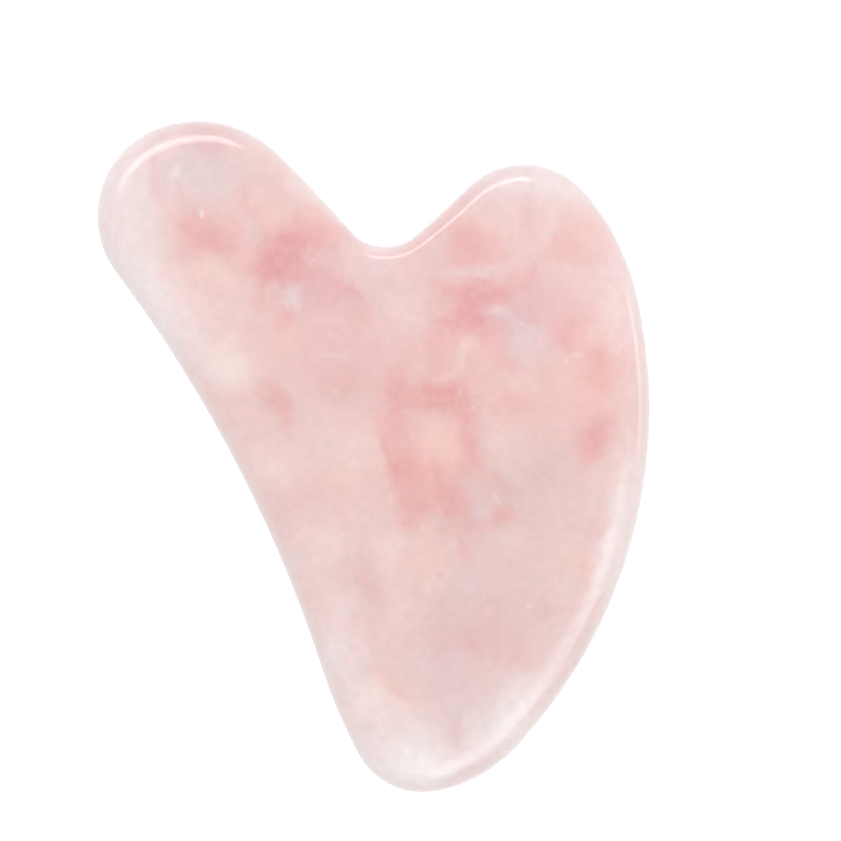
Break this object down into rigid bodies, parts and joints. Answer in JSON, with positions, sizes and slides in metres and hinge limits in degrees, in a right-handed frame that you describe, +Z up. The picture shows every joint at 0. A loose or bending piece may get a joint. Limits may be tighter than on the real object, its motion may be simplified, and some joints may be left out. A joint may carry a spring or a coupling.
{
  "type": "gua sha scraper",
  "caption": "Flat hand-held massage stone cut to a lopsided heart, with a notch between its two lobes, a blunt tip and a rounded polished edge, for scraping the skin.",
  "frame": {"origin": "on the surface that the stone lies on, under the middle of its outline's length and width", "axes": "+Z up through the slab's thickness, +Y from the tip to the notched end, +X towards the wide lobe"},
  "size_m": [0.0658, 0.08, 0.006],
  "materials": {
    "rose_quartz": "polished, cloudy pink"
  },
  "bodies": {
    "root": {"scraper_stone": "rose_quartz"}
  },
  "joints": []
}
